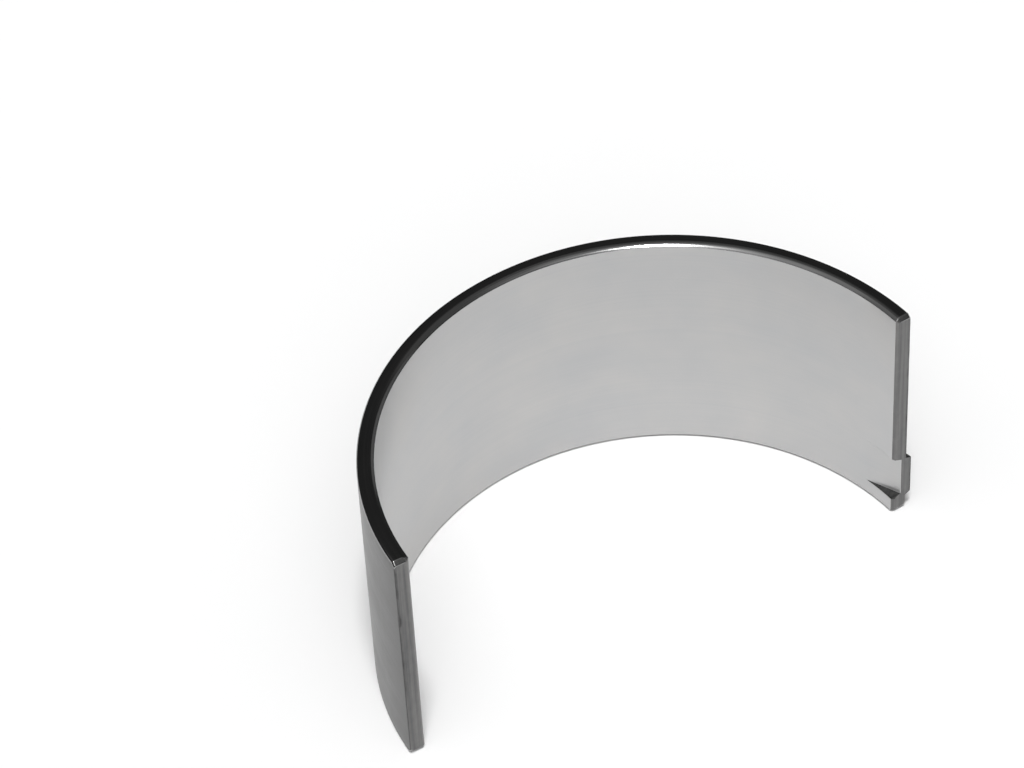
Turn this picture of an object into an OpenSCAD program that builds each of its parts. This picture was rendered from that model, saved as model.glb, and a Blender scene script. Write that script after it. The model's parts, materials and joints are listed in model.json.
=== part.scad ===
// Half shell of a split plain bearing for an engine crankshaft, as it stands free on its rim.
// The bearing axis is Z, with z = 0 at mid width. The open side faces -Y, the crown is at +Y,
// and the end with the locating lug is at +X.

/* [Shell] */

// Bore of the housing that clamps the shell (mm)
housing_bore = 67.5; // [50:0.5:90]

// Thickness of the wall (mm)
wall = 2; // [1.5:0.05:3.5]

// Width of the shell along the shaft (mm)
shell_w = 31.8; // [18:0.1:45]

// How far each end springs open from a half circle when nothing clamps the shell (deg)
spring = 2.5; // [0:0.1:4]

/* [Edges] */

// Bevel between a rim and the bore, across the wall (mm)
bore_bevel = 0.5; // [0.1:0.05:0.7]

// Bevel between a rim and the bore, along the shaft (mm)
bore_bevel_run = 0.3; // [0.1:0.05:0.7]

// Bevel between a rim and the back (mm)
back_bevel = 0.2; // [0.05:0.05:0.5]

// Bevel between an end face and the rims (mm)
corner_bevel = 0.45; // [0.1:0.05:1]

// Bevel between an end face and the bore (mm)
joint_bevel = 0.35; // [0.1:0.05:0.7]

/* [Locating lug] */

// Width of the lug where it leaves the back (mm)
lug_w = 6.3; // [4:0.1:10]

// How far the lug stands out from the back at the end face (mm)
lug_h = 0.75; // [0.3:0.05:1.2]

// How far the lug runs round the shell from the end face (mm)
lug_run = 4.8; // [2:0.1:6]

// How far each side of the lug leans in from its foot to its top (mm)
lug_lean = 0.3; // [0:0.1:1.5]

// Clear width between the lug's foot and the lower rim (mm)
lug_offset = 2; // [0.5:0.1:6]

// Width of the pressed-in recess behind the lug, at the bore (mm)
recess_w = 6.7; // [3:0.1:8]

// Depth of the recess at the end face (mm)
recess_d = 1.2; // [0.3:0.05:1.4]

// How far each side of the recess leans in from the bore to its floor (mm)
recess_lean = 0.5; // [0:0.1:1]

// Clear width between the recess and the lower rim (mm)
recess_offset = 2.2; // [0.5:0.1:6]

/* [Hidden] */

$fn = 240;

// The clamped wall is a half circle, and the free one has the same length round its back
free_sweep = 180 - 2 * spring;
back_r = housing_bore / 2 * 180 / free_sweep;
bore_r = back_r - wall;

half_w = shell_w / 2;
lug_z = -half_w + lug_offset + lug_w / 2;
recess_z = -half_w + recess_offset + recess_w / 2;

// Overlap that lets cutters pass clear of the faces they cut
over = 1;
// The revolved wall runs on past both ends by this angle, so that one plane cuts each end
over_sweep = 2;

// Distance from the axis of a circle of radius r, at the distance y from a line through its centre
function arc_x(r, y) = sqrt(r * r - y * y);

// Section of the wall with its bevelled rims, X from the axis and Y along the shaft
module wall_section() {
    polygon([
        [bore_r + bore_bevel, half_w],
        [back_r - back_bevel, half_w],
        [back_r, half_w - back_bevel],
        [back_r, back_bevel - half_w],
        [back_r - back_bevel, -half_w],
        [bore_r + bore_bevel, -half_w],
        [bore_r, bore_bevel_run - half_w],
        [bore_r, half_w - bore_bevel_run]
    ]);
}

// Turns a child drawn at one end of the shell, with that end's face on Y = 0, to the end's place
module at_lug_end() {
    rotate([0, 0, spring])
        children();
}

module at_both_ends() {
    at_lug_end()
        children();
    mirror([1, 0, 0])
        at_lug_end()
            children();
}

// Extrudes an outline of [Y, Z] points along X, across the wall
module across_wall(from_x, to_x) {
    translate([from_x, 0, 0])
        rotate([90, 0, 90])
            linear_extrude(height = to_x - from_x)
                children();
}

// Cutter that leaves an end face with its bevels
module end_cut() {
    inside = bore_r - over;
    outside = back_r + lug_h + over;
    tall = shell_w + 2 * over;
    past_end = back_r * sin(over_sweep) + over;

    translate([inside, -past_end, -tall / 2])
        cube([outside - inside, past_end, tall]);

    translate([0, 0, -tall / 2])
        linear_extrude(height = tall)
            polygon([
                [bore_r + joint_bevel + over, -over],
                [bore_r - over, joint_bevel + over],
                [bore_r - over, -over]
            ]);

    for (side = [0, 1])
        mirror([0, 0, side])
            across_wall(inside, outside)
                polygon([
                    [-over, half_w - corner_bevel - over],
                    [corner_bevel + over, half_w + over],
                    [-over, half_w + over]
                ]);
}

// Wedge that is highest at the end face and runs out on the circle of radius r. It reaches from
// the distance below under that circle to the height h over it. Its width is w on the circle,
// about the height mid_z, and each side leans in by lean on the way to h.
module pressed_wedge(r, h, mid_z, w, lean, below) {
    out_x = arc_x(r, lug_run);
    slope = (r + h - out_x) / lug_run;
    side = lean / h;

    intersection() {
        translate([0, 0, mid_z - w])
            linear_extrude(height = 2 * w)
                polygon([
                    [out_x - below, -over],
                    [r + h + slope * over, -over],
                    [out_x, lug_run],
                    [out_x - below, lug_run]
                ]);
        translate([0, lug_run + over, 0])
            rotate([90, 0, 0])
                linear_extrude(height = lug_run + 3 * over)
                    polygon([
                        [r - below - over, mid_z - w / 2 - side * (below + over)],
                        [r + h + over, mid_z - w / 2 + side * (h + over)],
                        [r + h + over, mid_z + w / 2 - side * (h + over)],
                        [r - below - over, mid_z + w / 2 + side * (below + over)]
                    ]);
    }
}

module lug() {
    pressed_wedge(back_r, lug_h, lug_z, lug_w, lug_lean, wall / 2);
}

module lug_recess() {
    pressed_wedge(bore_r, recess_d, recess_z, recess_w, recess_lean, over);
}

module bearing_shell() {
    color("silver")
        difference() {
            union() {
                rotate([0, 0, spring - over_sweep])
                    rotate_extrude(angle = free_sweep + 2 * over_sweep)
                        wall_section();
                at_lug_end()
                    lug();
            }
            at_both_ends()
                end_cut();
            at_lug_end()
                lug_recess();
        }
}

bearing_shell();
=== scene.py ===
"""The looks of a plain bearing half shell: satin steel back, turned rims, milled ends and a pale bore."""

import json
import math
from collections import namedtuple

import bmesh
import bpy
from mathutils import Matrix, Vector, noise


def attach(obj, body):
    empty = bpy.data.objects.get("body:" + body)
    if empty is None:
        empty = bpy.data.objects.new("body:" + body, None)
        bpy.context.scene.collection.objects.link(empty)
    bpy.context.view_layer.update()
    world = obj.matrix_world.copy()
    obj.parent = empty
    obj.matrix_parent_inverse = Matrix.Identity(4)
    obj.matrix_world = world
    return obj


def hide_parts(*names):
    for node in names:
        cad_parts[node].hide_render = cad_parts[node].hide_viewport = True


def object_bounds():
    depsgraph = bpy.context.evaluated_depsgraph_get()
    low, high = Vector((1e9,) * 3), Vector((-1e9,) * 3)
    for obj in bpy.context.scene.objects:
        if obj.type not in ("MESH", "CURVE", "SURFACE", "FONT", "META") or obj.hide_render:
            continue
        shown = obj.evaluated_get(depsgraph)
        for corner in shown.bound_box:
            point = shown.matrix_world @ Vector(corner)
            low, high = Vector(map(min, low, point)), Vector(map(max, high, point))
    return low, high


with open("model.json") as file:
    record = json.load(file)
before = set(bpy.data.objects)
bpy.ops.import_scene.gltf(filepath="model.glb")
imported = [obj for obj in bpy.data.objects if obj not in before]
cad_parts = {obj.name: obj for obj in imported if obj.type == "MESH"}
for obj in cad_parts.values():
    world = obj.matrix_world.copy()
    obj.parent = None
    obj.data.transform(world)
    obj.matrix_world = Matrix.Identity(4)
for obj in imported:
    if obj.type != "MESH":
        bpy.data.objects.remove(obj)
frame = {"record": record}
cad_low, cad_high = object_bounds()

MM = 0.001
MOUNTS = {mount["name"]: mount for mount in frame["record"]["mounts"]}

# Main sizes of the shell, in millimetres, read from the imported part
HALF_W = cad_high.z / MM
BACK_R = cad_high.y / MM
BORE_R = MOUNTS["journal_seat"]["dims"]["r_mm"]
SPRING = math.asin(MOUNTS["end_face_lug"]["axis"][0])
ARC = BACK_R * (math.pi - 2 * SPRING)

# Bevels, in millimetres, as in the part's source
BORE_BEVEL = 0.5
BORE_BEVEL_RUN = 0.3
BACK_BEVEL = 0.2
CORNER_BEVEL = 0.45
JOINT_BEVEL = 0.35

# Locating lug and the recess behind it, in millimetres, as in the part's source
LUG_RUN = 4.8
LUG_W = 6.3
LUG_H = 0.75
LUG_LEAN = 0.3
LUG_OFFSET = 2.0
RECESS_W = 6.7
RECESS_D = 1.2
RECESS_LEAN = 0.5
RECESS_OFFSET = 2.2

# A form pressed out of a face of the wall: the face's radius, and the form's middle height, width,
# height at the end face, and the lean of its sides
Wedge = namedtuple("Wedge", "radius middle width height lean")
LUG = Wedge(BACK_R, -HALF_W + LUG_OFFSET + LUG_W / 2, LUG_W, LUG_H, LUG_LEAN)
RECESS = Wedge(BORE_R, -HALF_W + RECESS_OFFSET + RECESS_W / 2, RECESS_W, RECESS_D, RECESS_LEAN)

# Rounding of the edges of an end face and of its bevels, in millimetres
EDGE_ROUND = 0.06
# Rounding of the edge between the bore and a rim's bevel, and the steps that make it
BORE_EDGE_ROUND = 0.02
BORE_EDGE_STEPS = 3
# Rounding of the edge between a rim's bevel and the rim, on each of the two
BEVEL_ROUND = 0.3
RIM_ROUND = 0.45
RIM_STEPS = 8
# Rounding of both edges of the bevel between a rim and the back
OUTER_ROUND = 0.1
OUTER_STEPS = 5
# Rounding of the folds of the lug and of its recess
PRESS_ROUND = 0.09
# A rounding takes at most this share of a side next to it
ROUND_SHARE = 0.5
# What is left at least of a rim's bevel where the bevels of an end cut it
LEAST_BEVEL = 2 * EDGE_ROUND

# The outer edge of an end face is broken unevenly: least and greatest rounding, waves per millimetre,
# and where the waves start on each end
BREAK_LEAST = 0.05
BREAK_MOST = 0.15
BREAK_WAVES = 0.42
LUG_END_WAVES = 3.7
PLAIN_END_WAVES = 8.1
# On the end without a lug the broken edge is faint low down: where it starts to fade, how far the
# fading runs and the share of its dark tone that is left
FADE_Z = -3.5
FADE_RUN = 4.0
FAINT_SHARE = 0.25
# A chip in the outer edge of the end without a lug: height on the shell, half length, depth and taper
CHIP_Z = 6.6
CHIP_REACH = 1.0
CHIP_DEPTH = 0.26
CHIP_TAPER = 1.5

# Rings round the wall: up to each distance from an end, one every so many millimetres, and the spacing
# between both ends
END_RINGS = ((EDGE_ROUND, EDGE_ROUND / 4), (0.6, 0.045), (LUG_RUN + 0.4, 0.25))
RING_STEP = 1.2

# Rows across the width, in millimetres: their spacing, and the room that they leave at a rim and beside
# the folds of a wedge
ROW_STEP = 0.8
EDGE_ROOM = 0.9
PRESS_ROOM = 0.12
# Rows on each side of a wedge, at these shares of the way from its upper fold to its foot
SIDE_SHARES = (0, 0.2, 0.5, 0.8, 1)
# Where a wedge runs out, its rows keep the places for this share of its height, and farther on they
# spread again, up to those for the second share
RUN_OUT_SHARE = 0.08
PLAIN_SHARE = 0.6

# Columns across the wall on an end face: share from the bore to the back, and how far on the broken edge
END_COLUMNS = ((0.03, 0), (0.2, 0), (0.4, 0), (0.6, 0), (0.75, 0), (0.84, 0), (0.91, 0.55), (0.96, 1))

# Kinds of surface, in the order of the piece's material slots
# The last kind, the sides of the lug and of its recess, has its colour darkened as painted shade
BORE, RIM, BACK, END, SHADED_SIDE = range(5)


def soft_positive(x, k):
    """The larger of x and 0, with the bend between them rounded over 2 * k."""
    if x <= -k:
        return 0.0
    if x >= k:
        return x
    return (x + k) ** 2 / (4 * k)


def soft_min(a, b, k):
    """The smaller of a and b, with the bend between them rounded."""
    return b - soft_positive(b - a, k)


def end_round(s, radius=EDGE_ROUND):
    """How far an edge of an end face is rounded back, at the distance s from the face."""
    if s >= radius:
        return 0.0
    return radius - math.sqrt(radius**2 - (radius - s) ** 2)


def edge_break(z, at_lug):
    """Rounding of the outer edge of an end face at the height z."""
    wave = noise.noise(Vector((z * BREAK_WAVES, LUG_END_WAVES if at_lug else PLAIN_END_WAVES, 0)))
    radius = BREAK_LEAST + (BREAK_MOST - BREAK_LEAST) * (1 + wave) / 2
    if not at_lug:
        radius += CHIP_DEPTH * max(0.0, 1 - abs(z - CHIP_Z) / CHIP_REACH) ** CHIP_TAPER
    return radius


def edge_dark(z, at_lug):
    """How dark the broken edge of an end face is at the height z, from 0 to 1."""
    if at_lug:
        return 1.0
    faded = min(1.0, max(0.0, (FADE_Z - z) / FADE_RUN))
    return 1 - (1 - FAINT_SHARE) * faded


def run_share(wedge, s):
    """Share of a wedge's run that is left at the distance s from the end face, measured on the back."""
    return 1 - s * wedge.radius / BACK_R / LUG_RUN


def pressed(wedge, s, z):
    """Height of a wedge at the distance s from the end face and the height z. Its top is flat."""
    share = run_share(wedge, s)
    sag = share * (1 - share) * LUG_RUN**2 / (2 * wedge.radius) if share > 0 else 0
    top = share * wedge.height - sag
    side = (wedge.width / 2 - abs(z - wedge.middle)) * wedge.height / wedge.lean
    return soft_positive(soft_min(top, side, PRESS_ROUND), PRESS_ROUND)


def press_rows(wedge, s):
    """Heights of the rows across a wedge, which follow its folds."""
    left = run_share(wedge, s)
    foot = wedge.width / 2
    fold = foot - wedge.lean * max(left, RUN_OUT_SHARE, min(-left, PLAIN_SHARE))
    half = [fold / 2, fold - PRESS_ROOM]
    half += [fold + (foot - fold) * share for share in SIDE_SHARES]
    half += [foot + PRESS_ROOM]
    return [wedge.middle + d for d in (*(-d for d in reversed(half)), 0, *half)]


def plain_rows(low, high):
    """Evenly spaced heights between low and high, without the two ends."""
    count = max(2, round((high - low) / ROW_STEP))
    return [low + (high - low) * i / count for i in range(1, count)]


PRESS_LOW = min(wedge.middle - wedge.width / 2 for wedge in (LUG, RECESS)) - PRESS_ROOM
PRESS_HIGH = max(wedge.middle + wedge.width / 2 for wedge in (LUG, RECESS)) + PRESS_ROOM
ROWS_UNDER = plain_rows(-HALF_W + EDGE_ROOM, PRESS_LOW)
ROWS_OVER = plain_rows(PRESS_HIGH, HALF_W - EDGE_ROOM)


def rows(wedge, s):
    """Heights of all rows on one face of the wall."""
    return ROWS_UNDER + press_rows(wedge, s) + ROWS_OVER


ROW_COUNT = len(rows(LUG, 0))
# Rows of a wedge's lower and upper foot, and the rows below each face of its sides and of its top
LOWER_FOOT = len(ROWS_UNDER) + 1
UPPER_FOOT = ROW_COUNT - len(ROWS_OVER) - 2
SIDE_FACES = len(SIDE_SHARES) - 1
LOWER_SIDE = range(LOWER_FOOT, LOWER_FOOT + SIDE_FACES)
UPPER_SIDE = range(UPPER_FOOT - SIDE_FACES, UPPER_FOOT)
PRESS_TOP = range(LOWER_SIDE.stop, UPPER_SIDE.start)


def rounded(corner, before, after, reach_before, reach_after, steps):
    """Points of a rounded corner of the wall's section."""
    to_before = before - corner
    to_after = after - corner
    first = corner + to_before.normalized() * min(reach_before, ROUND_SHARE * to_before.length)
    last = corner + to_after.normalized() * min(reach_after, ROUND_SHARE * to_after.length)
    points = []
    for i in range(steps + 1):
        t = i / steps
        points.append((1 - t) ** 2 * first + 2 * t * (1 - t) * corner + t**2 * last)
    return points


# Points round a rim: each rounded corner has one more than its steps
RIM_COUNT = (BORE_EDGE_STEPS + 1) + (RIM_STEPS + 1) + 2 * (OUTER_STEPS + 1)
# Faces over a rim's bevel on the bore's side, with its rounded edges
BEVEL_FACES = BORE_EDGE_STEPS + 1 + RIM_STEPS


def rim_rounding(drop):
    """Rounding before and after each corner of a rim, from the bore to the back, and its steps.

    The wide rounding between the bevel and the rim runs out where the corner facet drops the rim."""
    plain = max(0.0, 1 - drop / CORNER_BEVEL)
    return (
        (BORE_EDGE_ROUND, BORE_EDGE_ROUND, BORE_EDGE_STEPS),
        (max(EDGE_ROUND, plain * BEVEL_ROUND), max(EDGE_ROUND, plain * RIM_ROUND), RIM_STEPS),
        (OUTER_ROUND, OUTER_ROUND, OUTER_STEPS),
        (OUTER_ROUND, OUTER_ROUND, OUTER_STEPS),
    )


def rim_points(s, bore_row, back_row, side, outer_break):
    """Points of the section round a rim, from the bore to the back; side is 1 above and -1 below."""
    drop = soft_positive(CORNER_BEVEL - s, EDGE_ROUND) + end_round(s)
    top = HALF_W - drop
    inner = BORE_R + soft_positive(JOINT_BEVEL - s, EDGE_ROUND) + end_round(s)
    outer = BACK_R - end_round(s, outer_break)
    bevel_in = max(inner + LEAST_BEVEL, BORE_R + BORE_BEVEL * (1 - drop / BORE_BEVEL_RUN))
    bevel_low = min(top - LEAST_BEVEL, HALF_W - BORE_BEVEL_RUN * (1 - (inner - BORE_R) / BORE_BEVEL))
    back_in = outer - BACK_BEVEL
    back_low = top - BACK_BEVEL
    corners = [(inner, bevel_low), (bevel_in, top), (back_in, top), (outer, back_low)]
    chain = [bore_row, *(Vector((r, side * z)) for r, z in corners), back_row]
    points = []
    for i, rounding in enumerate(rim_rounding(drop)):
        points += rounded(chain[i + 1], chain[i], chain[i + 2], *rounding)
    return points


def section(s, s_lug):
    """The wall's closed section, s from the nearer end face and s_lug from the lug's end face.

    It runs up the bore, over the upper rim, down the back and under the lower rim. Returns its points
    (distance from the axis, height), and for each how far it lies on the broken edge of the end face."""
    at_lug = s_lug < ARC / 2
    bevel = soft_positive(JOINT_BEVEL - s, EDGE_ROUND)
    bore = []
    for z in rows(RECESS, s_lug):
        under_bevel = soft_positive(pressed(RECESS, s_lug, z) - bevel, PRESS_ROUND)
        bore.append(Vector((BORE_R + bevel + under_bevel + end_round(s), z)))
    back = []
    broken = []
    for z in rows(LUG, s_lug):
        radius = edge_break(z, at_lug)
        back.append(Vector((BACK_R + pressed(LUG, s_lug, z) - end_round(s, radius), z)))
        broken.append(max(0.0, 1 - s / radius) * edge_dark(z, at_lug))
    upper = rim_points(s, bore[-1], back[-1], 1, edge_break(HALF_W, at_lug))
    lower = rim_points(s, bore[0], back[0], -1, edge_break(-HALF_W, at_lug))
    points = bore + upper + back[::-1] + lower[::-1]
    edge = [0.0] * (ROW_COUNT + RIM_COUNT) + broken[::-1] + [0.0] * RIM_COUNT
    return points, edge


def wedge_kinds(wedge, plain, top, s_lug):
    """Kinds of surface over each row of the bore or the back, from the lowest row up."""
    kinds = [plain] * ROW_COUNT
    if run_share(wedge, s_lug) > RUN_OUT_SHARE:
        for i in PRESS_TOP:
            kinds[i] = top
        # The sides of a wedge get the material with painted shade
        for i in (*LOWER_SIDE, *UPPER_SIDE):
            kinds[i] = SHADED_SIDE
    return kinds


def section_kinds(s, s_lug):
    """Kinds of surface that follow the section's points. An end's bevel runs up to the rims."""
    plain_bore, bevel = (END, END) if s < JOINT_BEVEL else (BORE, RIM)
    bore = wedge_kinds(RECESS, plain_bore, BORE, s_lug)
    back = wedge_kinds(LUG, BACK, BACK, s_lug)
    rim = [bevel] * BEVEL_FACES + [RIM] * (RIM_COUNT - 1 - BEVEL_FACES)
    # The back is followed downwards, so each of its faces belongs to the row below
    down = [BACK] + back[-2::-1] + [BACK]
    return bore[:-1] + [plain_bore] + rim + down + rim[::-1] + [plain_bore]


def ring_stops():
    """Distances of the rings from the lug's end face, along the back."""
    near = [0.0]
    for limit, step in END_RINGS:
        count = max(1, round((limit - near[-1]) / step))
        start = near[-1]
        near += [start + (limit - start) * (i + 1) / count for i in range(count)]
    count = round((ARC - 2 * near[-1]) / RING_STEP)
    middle = [near[-1] + (ARC - 2 * near[-1]) * i / count for i in range(1, count)]
    return near + middle + [ARC - s for s in reversed(near)]


def placed(point, s_lug):
    """A section's point at its place in the row frame, in metres."""
    angle = SPRING + s_lug / BACK_R
    r, z = point
    return Vector((r * math.cos(angle), r * math.sin(angle), z)) * MM


def end_cap(bm, verts, edge_layer, at_lug):
    """Closes one end with a grid between the bore's rows and the back's, and one face at each rim."""
    bore = verts[:ROW_COUNT]
    upper = verts[ROW_COUNT : ROW_COUNT + RIM_COUNT]
    back = verts[ROW_COUNT + RIM_COUNT : 2 * ROW_COUNT + RIM_COUNT][::-1]
    lower = verts[2 * ROW_COUNT + RIM_COUNT :]
    grid = []
    for inner, outer in zip(bore, back):
        line = [inner]
        for share, edge in END_COLUMNS:
            vert = bm.verts.new(inner.co.lerp(outer.co, share))
            vert[edge_layer] = edge * edge_dark(outer.co.z / MM, at_lug)
            line.append(vert)
        grid.append([*line, outer])
    faces = []
    for low, high in zip(grid, grid[1:]):
        for i in range(len(low) - 1):
            faces.append(bm.faces.new((low[i], low[i + 1], high[i + 1], high[i])))
    faces.append(bm.faces.new(grid[-1][::-1] + upper))
    faces.append(bm.faces.new(grid[0] + lower))
    for face in faces:
        face.material_index = END


def shell_mesh():
    """The shell's closed mesh: a section swept round the axis, with a cap on each end."""
    bm = bmesh.new()
    edge_layer = bm.verts.layers.float.new("edge")
    stops = ring_stops()
    rings = []
    for s_lug in stops:
        points, edge = section(min(s_lug, ARC - s_lug), s_lug)
        ring = [bm.verts.new(placed(p, s_lug)) for p in points]
        for vert, value in zip(ring, edge):
            vert[edge_layer] = value
        rings.append(ring)
    for first, second, ring, other in zip(stops, stops[1:], rings, rings[1:]):
        s_lug = (first + second) / 2
        for i, kind in enumerate(section_kinds(min(s_lug, ARC - s_lug), s_lug)):
            j = (i + 1) % len(ring)
            bm.faces.new((ring[i], ring[j], other[j], other[i])).material_index = kind
    end_cap(bm, rings[0], edge_layer, at_lug=True)
    end_cap(bm, rings[-1], edge_layer, at_lug=False)
    bmesh.ops.recalc_face_normals(bm, faces=bm.faces)
    for face in bm.faces:
        face.smooth = True
    mesh = bpy.data.meshes.new("shell")
    bm.to_mesh(mesh)
    bm.free()
    return mesh


# Tints of the dark and the light parts of a metal
COOL = (0.99, 1.0, 1.015)
WARM = (1.012, 1.0, 0.985)
# How much of the noise lies in its finer layers
NOISE_ROUGH = 0.55


class Metal:
    """One metal and its nodes. A point's place on the shell is the arc round the back, the distance from
    the axis and the height, all in millimetres."""

    def __init__(self, name):
        self.material = bpy.data.materials.new(name)
        self.material.use_nodes = True
        self.nodes = self.material.node_tree.nodes
        self.links = self.material.node_tree.links
        self.shader = self.nodes["Principled BSDF"]
        self.shader.inputs["Metallic"].default_value = 1
        self.place = self.place_on_shell()

    def add(self, kind, inputs, **settings):
        """Adds a node. Each input is a socket to link or a constant."""
        node = self.nodes.new("ShaderNode" + kind)
        for key, value in settings.items():
            setattr(node, key, value)
        for key, value in inputs.items():
            if isinstance(value, bpy.types.NodeSocket):
                self.links.new(value, node.inputs[key])
            else:
                node.inputs[key].default_value = value
        return node

    def math(self, operation, a, b):
        """Two numbers combined by a Math node."""
        return self.add("Math", {0: a, 1: b}, operation=operation).outputs[0]

    def vector(self, operation, a, b):
        """Two vectors combined by a Vector Math node."""
        return self.add("VectorMath", {0: a, 1: b}, operation=operation).outputs["Vector"]

    def place_on_shell(self):
        """The socket that gives a point's place on the shell."""
        point = self.vector("DIVIDE", self.add("TexCoord", {}).outputs["Object"], (MM, MM, MM))
        split = self.add("SeparateXYZ", {"Vector": point}).outputs
        arc = self.math("MULTIPLY", self.math("ARCTAN2", split["Y"], split["X"]), BACK_R)
        flat = self.vector("MULTIPLY", point, (1, 1, 0))
        radius = self.add("VectorMath", {0: flat}, operation="LENGTH").outputs["Value"]
        return self.add("CombineXYZ", {"X": arc, "Y": radius, "Z": split["Z"]}).outputs["Vector"]

    def noise(self, per_mm, detail=2.0, shift=0.0):
        """Noise about 0.5, with so many features per millimetre along the arc, across the wall and up."""
        inputs = {0: self.place, 1: per_mm, 2: (shift, shift, shift)}
        place = self.add("VectorMath", inputs, operation="MULTIPLY_ADD").outputs["Vector"]
        inputs = {"Vector": place, "Scale": 1.0, "Detail": detail, "Roughness": NOISE_ROUGH}
        return self.add("TexNoise", inputs).outputs["Fac"]

    def spread(self, value, low=0.0, high=1.0, start=0.3, stop=0.7):
        """Brings a value between start and stop to the range from low to high."""
        limits = {"From Min": start, "From Max": stop, "To Min": low, "To Max": high}
        return self.add("MapRange", {"Value": value, **limits}).outputs["Result"]

    def mixed(self, first, second, share):
        """Two values mixed, with the share of the second."""
        return self.add("Mix", {"Factor": share, "A": first, "B": second}).outputs["Result"]

    def tone(self, share, dark, light):
        """A colour between a slightly cool dark grey and a slightly warm light one, with its share."""
        cool = (*(dark * tint for tint in COOL), 1)
        warm = (*(light * tint for tint in WARM), 1)
        return self.add("MixRGB", {"Fac": share, "Color1": cool, "Color2": warm}).outputs["Color"]

    def edge_darkened(self, colour, edge_tone):
        """Darkens a colour to a darker grey in the uneven line along the broken outer edge of an end
        face.
        """
        edge = self.add("Attribute", {}, attribute_name="edge").outputs["Fac"]
        grain = self.noise(per_mm=(1.5, 1.5, 0.45), detail=4, shift=7)
        share = self.math("MULTIPLY", edge, self.spread(grain, low=-0.2))
        inputs = {"Fac": share, "Color1": colour, "Color2": (edge_tone, edge_tone, edge_tone, 1)}
        return self.add("MixRGB", inputs).outputs["Color"]

    def finish(self, colour, rough, height, depth_mm, strength):
        """Links colour, roughness and the fine relief to the shader."""
        bump = self.add("Bump", {"Height": height, "Distance": depth_mm * MM, "Strength": strength})
        self.links.new(colour, self.shader.inputs["Base Color"])
        self.links.new(rough, self.shader.inputs["Roughness"])
        self.links.new(bump.outputs["Normal"], self.shader.inputs["Normal"])
        return self.material


def bore_lining():
    """Pale lining with very fine boring marks round the bore and faint clouds."""
    metal = Metal("bore_lining")
    marks = metal.noise(per_mm=(0.006, 0, 3.6))
    clouds = metal.noise(per_mm=(0.1, 0, 0.13), shift=4)
    share = metal.mixed(metal.spread(clouds), metal.spread(marks), share=0.35)
    colour = metal.tone(share, dark=0.44, light=0.49)
    cloud_rough = metal.spread(clouds, low=0.33, high=0.41)
    mark_rough = metal.spread(marks, low=0.34, high=0.4)
    rough = metal.mixed(cloud_rough, mark_rough, share=0.5)
    return metal.finish(colour, rough, marks, depth_mm=0.003, strength=0.3)


def turned_rim():
    """Dark, smooth steel rim with concentric turning marks."""
    metal = Metal("turned_rim")
    rings = metal.noise(per_mm=(0.02, 7.0, 7.0), detail=3)
    clouds = metal.noise(per_mm=(0.15, 0.4, 0.4), shift=2)
    share = metal.mixed(metal.spread(clouds), metal.spread(rings), share=0.6)
    colour = metal.tone(share, dark=0.24, light=0.33)
    rough = metal.spread(rings, low=0.1, high=0.17)
    return metal.finish(colour, rough, rings, depth_mm=0.004, strength=0.3)


def steel_back():
    """Satin steel back with faint clouds and fine marks round the shell."""
    metal = Metal("steel_back")
    marks = metal.noise(per_mm=(0.025, 0, 2.8), detail=4)
    clouds = metal.noise(per_mm=(0.16, 0, 0.2), detail=3, shift=5)
    spots = metal.noise(per_mm=(0.9, 0, 1.1), detail=3, shift=9)
    share = metal.mixed(metal.spread(clouds), metal.spread(marks), share=0.4)
    share = metal.mixed(share, metal.spread(spots), share=0.15)
    colour = metal.edge_darkened(metal.tone(share, dark=0.075, light=0.14), edge_tone=0.06)
    cloud_rough = metal.spread(clouds, low=0.3, high=0.42)
    mark_rough = metal.spread(marks, low=0.28, high=0.44)
    rough = metal.mixed(cloud_rough, mark_rough, share=0.4)
    return metal.finish(colour, rough, marks, depth_mm=0.006, strength=0.35)


def milled_end():
    """End faces, cut across their width, with streaks along it."""
    metal = Metal("milled_end")
    fine = metal.noise(per_mm=(6.0, 6.0, 0.1), detail=3)
    broad = metal.noise(per_mm=(2.2, 2.2, 0.05), shift=3)
    spots = metal.noise(per_mm=(1.2, 1.2, 0.7), detail=3, shift=6)
    share = metal.mixed(metal.spread(fine), metal.spread(broad, start=0.38, stop=0.62), share=0.5)
    share = metal.mixed(share, metal.spread(spots), share=0.2)
    colour = metal.edge_darkened(metal.tone(share, dark=0.105, light=0.225), edge_tone=0.07)
    rough = metal.spread(fine, low=0.34, high=0.5)
    return metal.finish(colour, rough, fine, depth_mm=0.008, strength=0.5)


def sheared_side():
    """Dark sides of the pressed lug and of its recess, torn by the punch. Their dark colour is painted
    shade.
    """
    metal = Metal("sheared_side")
    tears = metal.noise(per_mm=(2.5, 1.0, 1.0), detail=3)
    # Painted shade: a near-black tone for the sides
    colour = metal.tone(metal.spread(tears), dark=0.05, light=0.1)
    rough = metal.spread(tears, low=0.4, high=0.6)
    return metal.finish(colour, rough, tears, depth_mm=0.02, strength=0.5)


shell = bpy.data.objects.new("shell", shell_mesh())
bpy.context.scene.collection.objects.link(shell)
for material in (bore_lining(), turned_rim(), steel_back(), milled_end(), sheared_side()):
    shell.data.materials.append(material)
shell.modifiers.new("even_normals", "WEIGHTED_NORMAL")
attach(shell, "root")
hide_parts("bearing_shell")

# Floor
FLOOR_SIZE = 6.0
FLOOR_GREY = 0.86
FLOOR_ROUGH = 0.7
bpy.ops.mesh.primitive_plane_add(size=FLOOR_SIZE, location=(0, 0, cad_low.z))
floor = bpy.context.object
floor.name = "floor"
floor_material = bpy.data.materials.new("pale_floor")
floor_material.use_nodes = True
floor_shader = floor_material.node_tree.nodes["Principled BSDF"]
floor_shader.inputs["Base Color"].default_value = (FLOOR_GREY, FLOOR_GREY, FLOOR_GREY, 1)
floor_shader.inputs["Roughness"].default_value = FLOOR_ROUGH
floor.data.materials.append(floor_material)


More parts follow.
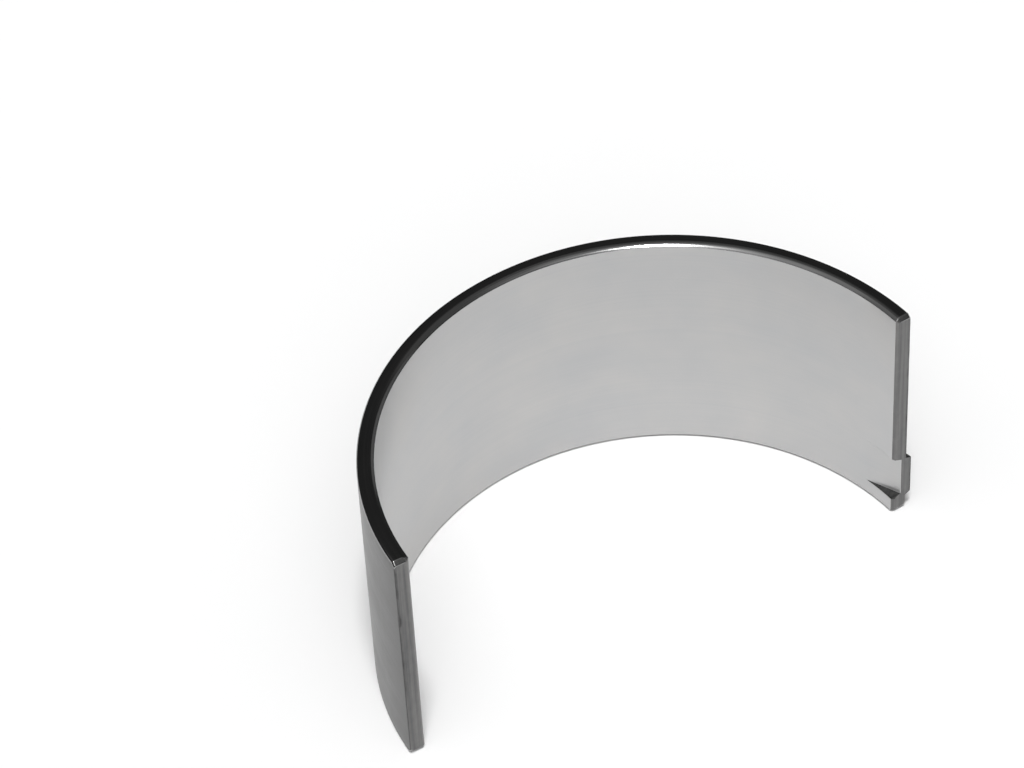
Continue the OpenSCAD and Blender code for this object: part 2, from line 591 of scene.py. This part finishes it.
def sun(name, towards, spread_deg, energy, mirrored=True):
    """A round soft light far away. Where it isn't mirrored, bright metal doesn't show it."""
    light = bpy.data.lights.new(name, "SUN")
    light.energy = energy
    light.angle = math.radians(spread_deg)
    lamp = bpy.data.objects.new(name, light)
    lamp.rotation_euler = Vector(towards).to_track_quat("Z", "Y").to_euler()
    lamp.visible_glossy = mirrored
    bpy.context.scene.collection.objects.link(lamp)


# Directions towards the lights
OVERHEAD = (-0.12, -0.22, 0.967)
BESIDE_LAMP = (-0.187, -0.17, 0.967)
BACK_LEFT = (-0.45, 0.3, 0.84)
RIGHT_SIDE = (0.93, 0.03, 0.37)
FRONT = (0.2, -0.72, 0.66)
AT_CAMERA = (-0.33, -0.66, 0.67)
FRONT_LEFT = (-0.2, -0.25, 0.947)
# Discs of the glow beside the lamp, the narrowest first: width in degrees and energy
LAMP_GLOW = ((20, 0.063), (35, 0.068), (55, 0.103), (75, 0.138))

# A lamp overhead, a glow beside it that fades outwards, a wide one round it, weaker glows from four
# sides, and a soft fill
sun("lamp", OVERHEAD, spread_deg=9.5, energy=1.9)
for spread_deg, energy in LAMP_GLOW:
    sun(f"lamp_glow_{spread_deg}", BESIDE_LAMP, spread_deg, energy)
sun("wide_glow", OVERHEAD, spread_deg=105, energy=0.2)
sun("back_glow", BACK_LEFT, spread_deg=50, energy=0.1)
sun("side_glow", RIGHT_SIDE, spread_deg=45, energy=0.075)
sun("front_glow", FRONT, spread_deg=60, energy=0.06)
sun("camera_glow", AT_CAMERA, spread_deg=36, energy=0.6)
sun("soft_fill", FRONT_LEFT, spread_deg=60, energy=0.72, mirrored=False)

WORLD_GREY = 0.042
world = bpy.data.worlds.new("studio")
bpy.context.scene.world = world
world.use_nodes = True
background = world.node_tree.nodes["Background"]
background.inputs["Color"].default_value = (WORLD_GREY, WORLD_GREY, WORLD_GREY, 1)

# Camera: where it stands round the foot of the bearing axis, its roll, its shift and its lens
CAMERA_AZ = math.radians(-29.72)
CAMERA_EL = math.radians(44.53)
CAMERA_ROLL = math.radians(-3.43)
CAMERA_DISTANCE = 498.5 * MM
CAMERA_RIGHT = -18.59 * MM
CAMERA_UP = 29.34 * MM
LENS = 150.0
SENSOR = 36.0
CLIP_START = 0.01

to_camera = Vector((
    math.sin(CAMERA_AZ) * math.cos(CAMERA_EL),
    -math.cos(CAMERA_AZ) * math.cos(CAMERA_EL),
    math.sin(CAMERA_EL),
))
level = Vector((math.cos(CAMERA_AZ), math.sin(CAMERA_AZ), 0))
upright = to_camera.cross(level)
right = math.cos(CAMERA_ROLL) * level + math.sin(CAMERA_ROLL) * upright
up = to_camera.cross(right)
axis_foot = Vector((0, 0, cad_low.z))
place = axis_foot + to_camera * CAMERA_DISTANCE + right * CAMERA_RIGHT + up * CAMERA_UP
lens = bpy.data.cameras.new("camera")
lens.lens = LENS
lens.sensor_width = SENSOR
lens.clip_start = CLIP_START
camera = bpy.data.objects.new("camera", lens)
camera.matrix_world = Matrix.Translation(place) @ Matrix((right, up, to_camera)).transposed().to_4x4()
bpy.context.scene.collection.objects.link(camera)
bpy.context.scene.camera = camera

bpy.context.scene.view_settings.view_transform = "Standard"
